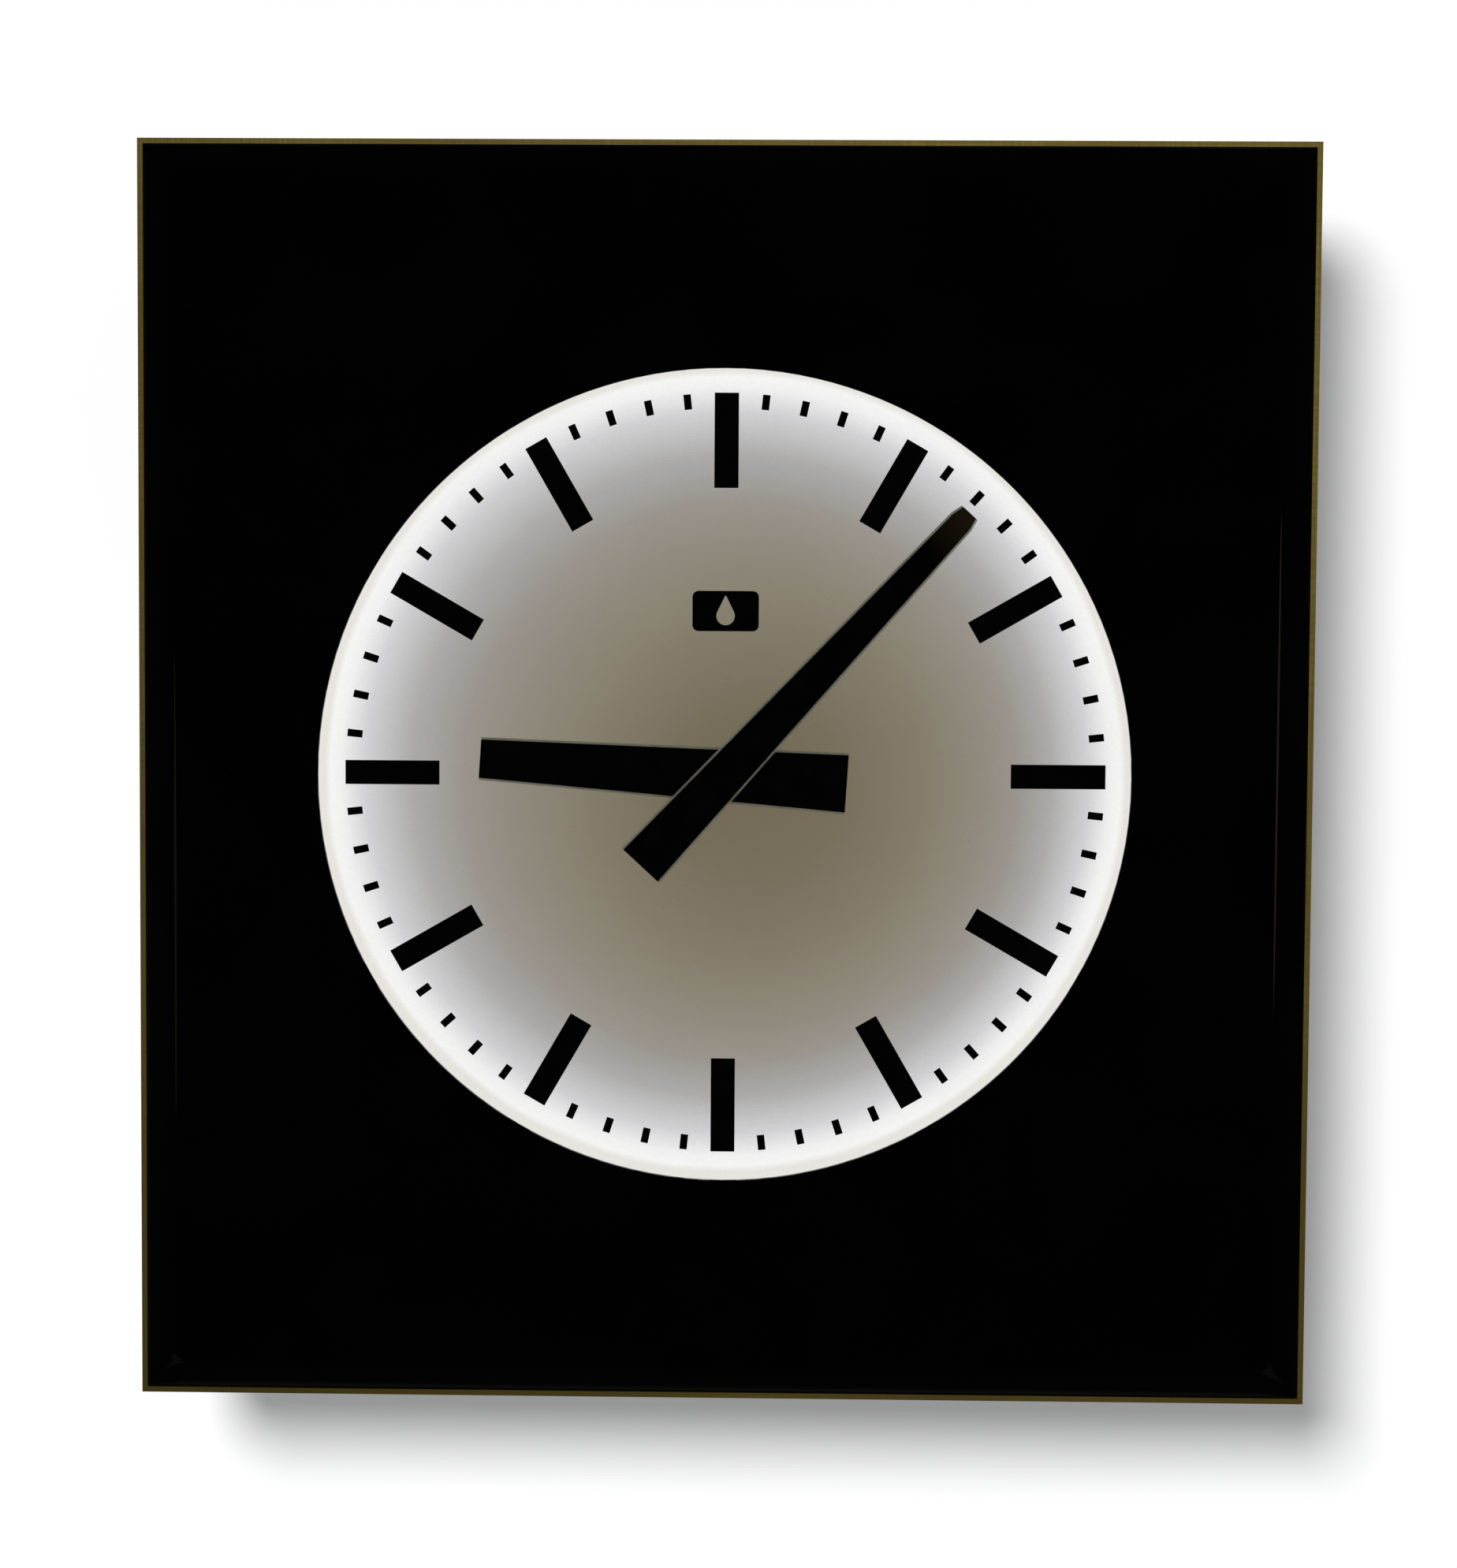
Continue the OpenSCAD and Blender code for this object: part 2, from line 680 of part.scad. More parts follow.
module hour_hand() color([0.8, 0.8, 0.74]) stand() rotate([0, 0, -hour_angle])
    hand(hour_reach, hour_tip_w, hour_tail_w, hand_margin, hour_spigot_r + fit,
         hour_hand_z, hand_core_t);

module hour_hand_face() color([0.02, 0.02, 0.02]) stand() rotate([0, 0, -hour_angle])
    hand(hour_reach, hour_tip_w, hour_tail_w, 0, hour_spigot_r + fit,
         hour_hand_z + hand_core_t, hand_face_t);

module minute_hand() color([0.8, 0.8, 0.74]) stand() rotate([0, 0, -minute_angle])
    hand(minute_reach, minute_tip_w, minute_tail_w, hand_margin, minute_spigot_r + fit,
         minute_hand_z, hand_core_t, minute_nip);

module minute_hand_face() color([0.02, 0.02, 0.02]) stand() rotate([0, 0, -minute_angle])
    hand(minute_reach, minute_tip_w, minute_tail_w, 0, minute_spigot_r + fit,
         minute_hand_z + hand_core_t, hand_face_t, minute_nip);

module hand_nut() color([0.03, 0.03, 0.03]) stand() {
    z0 = minute_hand_z + hand_core_t + hand_face_t;
    difference() {
        union() {
            rod(5.5, z0, z0 + 2);
            rod(4.2, z0, z0 + 3);
        }
        rod(minute_spigot_r + fit, z0 - 1, z0 + 2.2);
    }
}

// ---------- door frame ----------

// Countersunk screw entering along -x from the outer face of the trim
module side_screw(play = 0) {
    translate([-side_screw_l - play, 0, 0]) rotate([0, 90, 0])
        cylinder(r = m3_r + play, h = side_screw_l + 2 * play);
    translate([-1.5, 0, 0]) rotate([0, 90, 0])
        cylinder(r1 = m3_r + play, r2 = 3 + play, h = 1.5 + e);
}

// Heights and places of the screws on one side, x being the distance outwards
module side_screws(half, at_face, at_keys, at_hinge) {
    for (y = at_face) translate([half, y, face_screw_z]) children();
    for (y = at_keys) translate([half, y, key_screw_z]) children();
    for (y = at_hinge) translate([half, y, hinge_screw_z]) children();
}

module upright_screws(at_hinge) side_screws(
    face_x, [-upright_screw_y, 0, upright_screw_y],
    [key_screw_in - rail_y, rail_y - key_screw_in], at_hinge) children();

module cross_screws() side_screws(
    face_y, [-cross_screw_x, cross_screw_x],
    [key_screw_in - rail_x, rail_x - key_screw_in], []) children();

module left_screws() mirror([1, 0, 0])
    upright_screws([for (s = [-1, 1], t = [-1, 1]) s * hinge_y + t * hinge_screw_at]) children();

module right_screws() upright_screws([]) children();

module top_screws() rotate([0, 0, 90]) cross_screws() children();

module bottom_screws() rotate([0, 0, -90]) cross_screws() children();

module frame_ring() {
    frame_block(face_x, face_y, rail_x, rail_y, rail_z0, trim_z);
    frame_block(face_x - 1, face_y - 1, rail_x - ledge_w, rail_y - ledge_w,
                ledge_z, ledge_z + ledge_t);
}

// One mitred side: half length l outwards at distance d from the middle
module mitre(l, d, k = 30) translate([0, 0, rail_z0 - 1]) linear_extrude(trim_z - rail_z0 + 2)
    polygon([[-l, d], [l, d], [l - k, d - k], [-l + k, d - k]]);

module rail_top() color([0.42, 0.37, 0.16]) stand() difference() {
    intersection() {
        frame_ring();
        mitre(face_x, face_y);
    }
    top_screws() side_screw(clearance);
}

module rail_bottom() color([0.42, 0.37, 0.16]) stand() difference() {
    intersection() {
        frame_ring();
        mirror([0, 1, 0]) mitre(face_x, face_y);
    }
    bottom_screws() side_screw(clearance);
}

module rail_left() color([0.42, 0.37, 0.16]) stand() difference() {
    intersection() {
        frame_ring();
        rotate([0, 0, 90]) mitre(face_y, face_x);
    }
    left_screws() side_screw(clearance);
}

module latch_axis() for (s = [-1, 1])
    translate([face_x, s * latch_y, latch_z]) rotate([0, 90, 0]) children();

module rail_right() color([0.42, 0.37, 0.16]) stand() difference() {
    intersection() {
        frame_ring();
        rotate([0, 0, -90]) mitre(face_y, face_x);
    }
    right_screws() side_screw(clearance);
    latch_axis() {
        rod(latch_head_r + 0.2, -1.7, 1);
        rod(latch_neck_r + clearance, -trim_t - 1, 1);
    }
}

module corner_keys() color([0.7, 0.7, 0.7]) stand() difference() {
    four_ways() {
        translate([rail_x - key_l, rail_y - key_t, key_z]) cube([key_l, key_t, key_h]);
        translate([rail_x - key_t, rail_y - key_l, key_z]) cube([key_t, key_l, key_h]);
    }
    left_screws() side_screw(clearance);
    right_screws() side_screw(clearance);
    top_screws() side_screw(clearance);
    bottom_screws() side_screw(clearance);
}

module slotted_screw() difference() {
    side_screw();
    cube([1.2, 0.8, 4.4], center = true);
}

module frame_screws() color([0.45, 0.4, 0.2]) stand() {
    left_screws() slotted_screw();
    right_screws() slotted_screw();
    top_screws() slotted_screw();
    bottom_screws() slotted_screw();
}

// ---------- formed face and window ----------

// Points along a bend of radius r about [cx, cz], from angle a0 to angle a1
function bend_points(cx, cz, r, a0, a1) = [
    for (i = [0:bend_steps]) let (a = a0 + (a1 - a0) * i / bend_steps)
        [cx + r * cos(a), cz + r * sin(a)]
];

// Section of the formed face: vertical skirt, sloping border, rounded bend, flat field
module pan_section(half, z_low, z_shoulder, field_half, z_top, r) {
    slope = atan2(z_top - z_shoulder, half - field_half);
    cx = field_half - r * tan(slope / 2);
    polygon(concat(
        [[half, z_low], [half, z_shoulder]],
        bend_points(cx, z_top - r, r, 90 - slope, 90),
        bend_points(-cx, z_top - r, r, 90, 90 + slope),
        [[-half, z_shoulder], [-half, z_low]]
    ));
}

module pan(x, y, z_low, z_shoulder, border, z_top, r) intersection() {
    rotate([90, 0, 0]) linear_extrude(2 * y, center = true)
        pan_section(x, z_low, z_shoulder, x - border, z_top, r);
    rotate([90, 0, 90]) linear_extrude(2 * x, center = true)
        pan_section(y, z_low, z_shoulder, y - border, z_top, r);
}

module face_panel() color([0.015, 0.015, 0.017]) stand() {
    slope = atan2(border_rise, border_w);
    low = ledge_z + ledge_t;
    difference() {
        pan(panel_x, panel_y, low, trim_z, border_w, field_z, bend_r);
        pan(panel_x - panel_t, panel_y - panel_t, low - 1,
            trim_z - panel_t * tan((90 - slope) / 2),
            border_w - panel_t + panel_t * tan(slope / 2), field_z - panel_t, bend_r - panel_t);
        rod(opening_d / 2, low, field_z + 1);
        left_screws() side_screw(clearance);
        right_screws() side_screw(clearance);
        top_screws() side_screw(clearance);
        bottom_screws() side_screw(clearance);
    }
}

module window_pane() color([0.85, 0.9, 0.92, 0.25]) stand()
    rod(opening_d / 2 + 14, pane_z, pane_z + pane_t);

module window_ring() color([0.55, 0.55, 0.56]) stand() difference() {
    pipe(opening_d / 2 + 28, opening_d / 2 + 4, pane_z - ring_t, pane_z);
    window_screw_sites() rod(m3_r + clearance, pane_z - ring_t - 1, pane_z + 1);
}

module window_bosses() color([0.05, 0.05, 0.05]) stand()
    window_screw_sites() difference() {
        rod(5, pane_z, pane_z + pane_t);
        rod(m3_r + fit, pane_z - 1, pane_z + pane_t - 0.5);
    }

module window_screws() color([0.7, 0.7, 0.72]) stand()
    window_screw_sites() translate([0, 0, pane_z - ring_t]) mirror([0, 0, 1])
        pan_screw(m3_r, 0, -ring_t - pane_t + 0.7, 1.8);

// ---------- hinges and latches ----------

module along_hinges() for (s = [-1, 1]) translate([0, s * hinge_y, 0]) children();

module knuckle(y0, y1) translate([hinge_x, y0, hinge_z]) rotate([-90, 0, 0])
    cylinder(r = knuckle_r, h = y1 - y0);

module knuckle_bore() translate([hinge_x, -hinge_l, hinge_z]) rotate([-90, 0, 0])
    cylinder(r = pin_r + fit, h = 2 * hinge_l);

module hinge_case_leaves() color([0.62, 0.62, 0.62]) stand() along_hinges() difference() {
    union() {
        translate([-case_x - leaf_t, -hinge_l / 2, 40]) cube([leaf_t, hinge_l, 22]);
        for (y = [-hinge_l / 2, knuckle_at]) {
            knuckle(y, y + hinge_l / 2 - knuckle_at);
            translate([hinge_x, y, 60.5])
                cube([-case_x - hinge_x, hinge_l / 2 - knuckle_at, 4]);
        }
    }
    knuckle_bore();
}

module hinge_door_leaves() color([0.62, 0.62, 0.62]) stand() difference() {
    half = knuckle_at - knuckle_gap;
    along_hinges() difference() {
        union() {
            translate([-rail_x, -hinge_l / 2, rail_z0]) cube([leaf_t, hinge_l, 15]);
            translate([-rail_x, -half, hinge_z]) cube([leaf_t, 2 * half, 10]);
            knuckle(-half, half);
        }
        knuckle_bore();
    }
    left_screws() side_screw(clearance);
}

module hinge_pins() color([0.7, 0.7, 0.72]) stand() along_hinges()
    translate([hinge_x, 0, hinge_z]) rotate([-90, 0, 0]) {
        translate([0, 0, -hinge_l / 2 - 1]) cylinder(r = pin_r, h = hinge_l + 1);
        translate([0, 0, hinge_l / 2]) cylinder(r = 2.6, h = 1.8);
    }

// Quarter-turn fastener; the cam points back to the wall when it is released
module latch() rotate([0, 90, 0]) {
    difference() {
        rod(latch_head_r, -1.6, -0.1);
        block(1.4, 2 * latch_head_r - 3, -1, 1);
    }
    rod(latch_neck_r, -trim_t - 2.7, -1.5);
    translate([0, 0, -trim_t - 2.6]) linear_extrude(2) {
        translate([0, -latch_w / 2]) square([latch_reach - latch_w / 2, latch_w]);
        translate([latch_reach - latch_w / 2, 0]) circle(latch_w / 2);
        circle(5);
    }
}

module latch_upper() color([0.62, 0.62, 0.64]) stand()
    translate([face_x, latch_y, latch_z]) latch();

module latch_lower() color([0.62, 0.62, 0.64]) stand()
    translate([face_x, -latch_y, latch_z]) latch();

module latch_catches() color([0.62, 0.62, 0.62]) stand()
    for (s = [-1, 1]) translate([case_x, s * latch_y + 7, 0]) {
        translate([0, 0, catch_z]) cube([catch_t, catch_w, 20]);
        translate([0, 0, catch_lip_z]) cube([4.9, catch_w, 1.8]);
    }

case_tray();
case_gasket();
cable_grommet();
earth_stud();
drum_posts();
reflector_drum();
drum_screws();
lamp_tube();
lamp_cap();
lamp_socket();
lamp_clips();
ballast();
starter_can();
starter_socket();
terminal_block();
gear_screws();
mains_leads();
lamp_leads();
motor_leads();
lead_grommets();
movement_back_plate();
movement_front_plate();
movement_pillars();
movement_screws();
motor_can();
motor_pinion();
minute_arbor();
motion_wheel();
hour_wheel();
dial_bridge();
centre_nut();
dial_panel();
hour_marks();
minute_marks();
badge();
dial_screws();
dial_nuts();
hour_hand();
hour_hand_face();
minute_hand();
minute_hand_face();
hand_nut();
rail_top();
rail_bottom();
rail_left();
rail_right();
corner_keys();
frame_screws();
face_panel();
window_pane();
window_ring();
window_bosses();
window_screws();
hinge_case_leaves();
hinge_door_leaves();
hinge_pins();
latch_upper();
latch_lower();
latch_catches();
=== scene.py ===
import json
import math

import bmesh
import bpy
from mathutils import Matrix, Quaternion, Vector


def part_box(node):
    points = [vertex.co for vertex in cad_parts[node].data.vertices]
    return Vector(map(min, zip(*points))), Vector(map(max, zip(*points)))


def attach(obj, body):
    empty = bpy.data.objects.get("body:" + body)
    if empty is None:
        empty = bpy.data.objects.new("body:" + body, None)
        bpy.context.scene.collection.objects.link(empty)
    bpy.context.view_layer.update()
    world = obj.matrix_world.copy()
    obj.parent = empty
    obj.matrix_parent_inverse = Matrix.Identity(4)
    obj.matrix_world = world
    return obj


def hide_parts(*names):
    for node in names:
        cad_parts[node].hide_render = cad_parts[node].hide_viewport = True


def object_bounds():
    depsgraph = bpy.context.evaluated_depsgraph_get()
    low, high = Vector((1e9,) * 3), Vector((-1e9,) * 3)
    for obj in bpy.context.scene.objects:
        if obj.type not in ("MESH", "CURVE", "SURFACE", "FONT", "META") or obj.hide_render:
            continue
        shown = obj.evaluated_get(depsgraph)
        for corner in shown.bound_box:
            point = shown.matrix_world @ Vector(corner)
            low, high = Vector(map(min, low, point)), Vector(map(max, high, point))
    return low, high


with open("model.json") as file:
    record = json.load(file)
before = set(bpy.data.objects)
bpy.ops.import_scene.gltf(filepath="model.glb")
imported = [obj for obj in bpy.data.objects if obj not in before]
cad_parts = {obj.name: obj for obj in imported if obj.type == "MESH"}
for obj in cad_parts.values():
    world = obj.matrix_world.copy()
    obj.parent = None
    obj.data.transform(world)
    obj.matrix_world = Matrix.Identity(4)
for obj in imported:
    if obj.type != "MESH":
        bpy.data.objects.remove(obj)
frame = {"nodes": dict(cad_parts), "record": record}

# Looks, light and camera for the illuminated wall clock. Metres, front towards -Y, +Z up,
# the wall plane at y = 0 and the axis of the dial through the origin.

cad_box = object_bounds()
MM = 0.001


# ---------- sizes read from the frame ----------

def nodes_of(*slots):
    """CAD nodes whose material is one of these slots."""
    return tuple(frame["nodes"][entry["node"]] for entry in frame["record"]["subparts"]
                 if entry["material_slot"] in slots)


def clear_radius(node):
    """Radius of the circle round the axis of the dial that a CAD node leaves clear."""
    return min(math.hypot(v.co.x, v.co.z) for v in frame["nodes"][node].data.vertices)


face_lo, face_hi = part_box("face_panel")
opening_r = clear_radius("face_panel")
panel_half_x = (face_hi.x - face_lo.x) / 2
panel_half_z = (face_hi.z - face_lo.z) / 2
skirt_y = face_hi.y
field_y = face_lo.y
object_bottom = cad_box[0].z

# sections of the formed face, as in the CAD
BORDER_RISE = 12 * MM
BORDER_W = 15 * MM
PANEL_T = 3 * MM
BEND_R = 8 * MM


# ---------- colour ----------

WHITE = (1.0, 1.0, 1.0, 1.0)


def srgb(r, g, b):
    """Linear colour of an sRGB colour given as 0 to 255."""
    def linear(c):
        c = c / 255
        return c / 12.92 if c <= 0.04045 else ((c + 0.055) / 1.055) ** 2.4
    return (linear(r), linear(g), linear(b), 1.0)


# ---------- node helpers ----------

# nearly all of a noise texture lies between these values, and half of it between the close ones
NOISE_LOW, NOISE_HIGH = 0.3, 0.7
CLOUD_LOW, CLOUD_HIGH = 0.35, 0.65


class Nodes:
    """Short calls for the nodes of one tree."""

    def __init__(self, tree):
        self.tree = tree

    def node(self, kind):
        return self.tree.nodes.new(kind)

    def link(self, output, socket):
        self.tree.links.new(output, socket)

    def feed(self, socket, value):
        """Links an output to a socket, or sets the socket to a constant."""
        if isinstance(value, bpy.types.NodeSocket):
            self.link(value, socket)
        else:
            socket.default_value = value

    def spread(self, value, low, high, to_low=0.0, to_high=1.0, smooth=False):
        """Stretches low..high of a value over to_low..to_high, clamped."""
        node = self.node("ShaderNodeMapRange")
        if smooth:
            node.interpolation_type = "SMOOTHSTEP"
        node.inputs["From Min"].default_value = low
        node.inputs["From Max"].default_value = high
        node.inputs["To Min"].default_value = to_low
        node.inputs["To Max"].default_value = to_high
        self.link(value, node.inputs["Value"])
        return node.outputs["Result"]

    def maths(self, operation, a, b):
        node = self.node("ShaderNodeMath")
        node.operation = operation
        self.feed(node.inputs[0], a)
        self.feed(node.inputs[1], b)
        return node.outputs["Value"]

    def vectors(self, operation, a, b=(0, 0, 0)):
        """Outputs of a vector maths node."""
        node = self.node("ShaderNodeVectorMath")
        node.operation = operation
        self.feed(node.inputs[0], a)
        self.feed(node.inputs[1], b)
        return node.outputs


class Surface(Nodes):
    """A Principled material with short calls for the usual textures."""

    def __init__(self, name, base, roughness, metallic=0.0, ior=1.5):
        self.mat = bpy.data.materials.new(name)
        self.mat.use_nodes = True
        super().__init__(self.mat.node_tree)
        self.shader = self.tree.nodes["Principled BSDF"]
        self.drive("Base Color", base)
        self.drive("Roughness", roughness)
        self.drive("Metallic", metallic)
        self.drive("IOR", ior)
        self.coords = self.node("ShaderNodeTexCoord").outputs["Object"]
        self.normal = None

    def drive(self, socket, value):
        """Gives an input of the shader a constant or an output."""
        self.feed(self.shader.inputs[socket], value)

    def stretched(self, x, y, z):
        """Object coordinates scaled per axis, for grain."""
        mapping = self.node("ShaderNodeMapping")
        mapping.inputs["Scale"].default_value = (x, y, z)
        self.link(self.coords, mapping.inputs["Vector"])
        return mapping.outputs["Vector"]

    def noise(self, scale, detail=4.0, roughness=0.55, vector=None, distortion=0.0):
        tex = self.node("ShaderNodeTexNoise")
        tex.inputs["Scale"].default_value = scale
        tex.inputs["Detail"].default_value = detail
        tex.inputs["Roughness"].default_value = roughness
        tex.inputs["Distortion"].default_value = distortion
        self.link(vector or self.coords, tex.inputs["Vector"])
        return tex.outputs["Fac"]

    def cells(self, scale, output="Distance"):
        tex = self.node("ShaderNodeTexVoronoi")
        tex.inputs["Scale"].default_value = scale
        self.link(self.coords, tex.inputs["Vector"])
        return tex.outputs[output]

    def wander(self, scale, low, high):
        """Noise that wanders between two values."""
        return self.spread(self.noise(scale), NOISE_LOW, NOISE_HIGH, low, high)

    def mix(self, factor, a, b):
        """Mixes two colours, each a tuple or an output."""
        node = self.node("ShaderNodeMix")
        node.data_type = "RGBA"
        first, second = [s for s in node.inputs if s.type == "RGBA"]
        self.feed(first, a)
        self.feed(second, b)
        self.link(factor, node.inputs["Factor"])
        return [s for s in node.outputs if s.type == "RGBA"][0]

    def mottled(self, dark, light, scale):
        """Cloudy change between two close colours."""
        return self.mix(self.spread(self.noise(scale), CLOUD_LOW, CLOUD_HIGH), dark, light)

    def split(self, vector=None):
        node = self.node("ShaderNodeSeparateXYZ")
        self.link(vector or self.coords, node.inputs["Vector"])
        return node.outputs

    def from_axis(self):
        """Distance from the axis of the dial, 1 at the rim of the opening."""
        flat = self.vectors("MULTIPLY", self.coords, (1, 0, 1))["Vector"]
        return self.maths("DIVIDE", self.vectors("LENGTH", flat)["Value"], opening_r)

    def ramp(self, value, stops):
        node = self.node("ShaderNodeValToRGB")
        ramp = node.color_ramp
        while len(ramp.elements) < len(stops):
            ramp.elements.new(0.5)
        for element, (place, colour) in zip(ramp.elements, stops):
            element.position = place
            element.color = colour
        self.link(value, node.inputs["Fac"])
        return node.outputs["Color"]

    def bump(self, height, strength, distance):
        """Adds a layer of bump on top of the ones before."""
        node = self.node("ShaderNodeBump")
        node.inputs["Strength"].default_value = strength
        node.inputs["Distance"].default_value = distance
        self.link(height, node.inputs["Height"])
        if self.normal is not None:
            self.link(self.normal, node.inputs["Normal"])
        self.normal = node.outputs["Normal"]
        self.drive("Normal", self.normal)

    def dimples(self, scale, strength, distance):
        """Fine soft bump, as on paint or moulded plastic."""
        self.bump(self.noise(scale, detail=2), strength, distance)

    def uneven_gloss(self, scale, smooth, rough):
        """Roughness that wanders between two values."""
        self.drive("Roughness", self.wander(scale, smooth, rough))

    def see_through(self, clearness):
        """Lets this share of the light straight through."""
        through = self.node("ShaderNodeBsdfTransparent")
        blend = self.node("ShaderNodeMixShader")
        self.link(clearness, blend.inputs["Fac"])
        self.link(self.shader.outputs["BSDF"], blend.inputs[1])
        self.link(through.outputs["BSDF"], blend.inputs[2])
        self.link(blend.outputs["Shader"], self.tree.nodes["Material Output"].inputs["Surface"])

    def upward(self):
        """How far the surface faces up, where dust settles."""
        normal = self.node("ShaderNodeNewGeometry").outputs["Normal"]
        return self.spread(self.split(normal)["Z"], low=0.3, high=0.9)


# ---------- materials ----------

def case_paint():
    s = Surface("case_enamel", srgb(170, 171, 168), 0.38)
    paint = s.mottled(srgb(157, 158, 155), srgb(163, 164, 160), scale=9)
    dust = s.maths("MULTIPLY", s.upward(), s.wander(60, 0.25, 0.45))
    paint = s.mix(dust, paint, srgb(176, 168, 150))
    streaks = s.noise(40, 2, 0.4, s.stretched(1, 14, 1.5), distortion=0.6)
    scratches = s.maths("MULTIPLY", s.spread(streaks, 0.70, 0.735), 0.35)
    s.drive("Base Color", s.mix(scratches, paint, srgb(120, 120, 118)))
    s.uneven_gloss(120, 0.36, 0.46)
    s.dimples(700, 0.12, 0.4 * MM)
    s.dimples(14, 0.04, 1 * MM)
    return s.mat


def white_enamel():
    s = Surface("white_enamel", srgb(226, 226, 220), 0.3)
    s.drive("Base Color", s.mottled(srgb(214, 213, 204), srgb(230, 230, 224), scale=12))
    s.uneven_gloss(50, 0.22, 0.4)
    s.dimples(600, 0.1, 0.3 * MM)
    return s.mat


def gold_anodised():
    """Brushed along each rail, with pits and a little wear."""
    s = Surface("gold_anodised", srgb(162, 144, 76), 0.62, metallic=1.0)
    brushed_x = s.noise(260, 3, 0.6, s.stretched(0.05, 3, 3))
    brushed_z = s.noise(260, 3, 0.6, s.stretched(3, 3, 0.05))
    grain = s.maths("MULTIPLY", s.maths("ADD", brushed_x, brushed_z), 0.5)
    tone = s.mottled(srgb(150, 131, 64), srgb(174, 156, 86), scale=7)
    tone = s.mix(s.spread(grain, 0.40, 0.60), tone, srgb(159, 142, 74))
    worn = s.maths("MULTIPLY", s.spread(s.noise(24, 6, 0.7), 0.60, 0.68), 0.3)
    tone = s.mix(worn, tone, srgb(130, 114, 72))
    off_pits = s.spread(s.cells(420), 0.05, 0.12)
    s.drive("Base Color", s.mix(off_pits, srgb(130, 114, 62), tone))
    s.drive("Roughness", s.spread(grain, CLOUD_LOW, CLOUD_HIGH, 0.56, 0.70))
    s.bump(grain, 0.1, 0.3 * MM)
    return s.mat


def zinc_steel():
    s = Surface("zinc_steel", srgb(176, 178, 180), 0.34, metallic=0.95)
    spangle = s.split(s.cells(240, "Color"))["X"]
    tone = s.mix(spangle, srgb(158, 160, 164), srgb(190, 190, 188))
    passivated = s.maths("MULTIPLY", s.spread(s.noise(55), 0.45, 0.7), 0.4)
    s.drive("Base Color", s.mix(passivated, tone, srgb(178, 168, 138)))
    s.uneven_gloss(180, 0.26, 0.46)
    s.dimples(900, 0.12, 0.2 * MM)
    return s.mat


def brass():
    s = Surface("brass", srgb(206, 170, 96), 0.26, metallic=1.0)
    grain = s.noise(500, 2, 0.5, s.stretched(0.2, 1, 1))
    tone = s.mottled(srgb(186, 148, 78), srgb(214, 180, 108), scale=60)
    tarnish = s.spread(s.noise(22), 0.52, 0.7)
    s.drive("Base Color", s.mix(tarnish, tone, srgb(150, 116, 66)))
    s.drive("Roughness", s.spread(grain, NOISE_LOW, NOISE_HIGH, 0.2, 0.36))
    s.bump(grain, 0.08, 0.2 * MM)
    return s.mat


def aluminium():
    s = Surface("mill_aluminium", srgb(178, 179, 181), 0.36, metallic=1.0)
    grain = s.noise(420, 3, 0.6, s.stretched(0.06, 1, 2.4))
    s.drive("Base Color", s.mix(grain, srgb(160, 161, 164), srgb(192, 192, 193)))
    s.drive("Roughness", s.spread(grain, NOISE_LOW, NOISE_HIGH, 0.28, 0.46))
    s.bump(grain, 0.1, 0.2 * MM)
    return s.mat


def rubber():
    s = Surface("black_rubber", srgb(30, 30, 31), 0.62)
    s.drive("Base Color", s.mottled(srgb(24, 24, 25), srgb(44, 43, 42), scale=90))
    s.uneven_gloss(200, 0.5, 0.75)
    s.dimples(1400, 0.25, 0.2 * MM)
    return s.mat


def foam():
    s = Surface("closed_cell_foam", srgb(26, 26, 26), 0.85)
    bubbles = s.cells(1300)
    s.drive("Base Color", s.mix(bubbles, srgb(14, 14, 14), srgb(46, 46, 46)))
    s.drive("Roughness", s.spread(bubbles, 0.0, 0.6, 0.75, 0.95))
    s.bump(bubbles, 0.6, 0.5 * MM)
    return s.mat


def moulded(name, dark, light, roughness):
    """Plastic that lets light in a little way."""
    s = Surface(name, light, roughness)
    s.drive("Subsurface Weight", 0.08)
    s.drive("Subsurface Radius", (4 * MM, 3 * MM, 2 * MM))
    s.drive("Base Color", s.mottled(dark, light, scale=40))
    s.uneven_gloss(240, roughness - 0.07, roughness + 0.1)
    s.dimples(1500, 0.15, 0.15 * MM)
    return s.mat


def lead_cover(name, dark, light):
    s = Surface(name, light, 0.45)
    s.drive("Base Color", s.mottled(dark, light, scale=160))
    s.uneven_gloss(300, 0.36, 0.55)
    s.dimples(2200, 0.2, 0.1 * MM)
    return s.mat


def ballast_steel():
    """Varnished stack of laminations."""
    s = Surface("varnished_laminations", srgb(62, 64, 67), 0.4, metallic=0.3)
    waves = s.node("ShaderNodeTexWave")
    waves.bands_direction = "X"
    waves.inputs["Scale"].default_value = 320
    waves.inputs["Distortion"].default_value = 0.4
    s.link(s.coords, waves.inputs["Vector"])
    layers = waves.outputs["Fac"]
    tone = s.mottled(srgb(48, 48, 50), srgb(78, 76, 72), scale=45)
    s.drive("Base Color", s.mix(s.maths("MULTIPLY", layers, 0.5), tone, srgb(30, 30, 31)))
    s.uneven_gloss(90, 0.3, 0.55)
    s.bump(layers, 0.3, 0.3 * MM)
    return s.mat


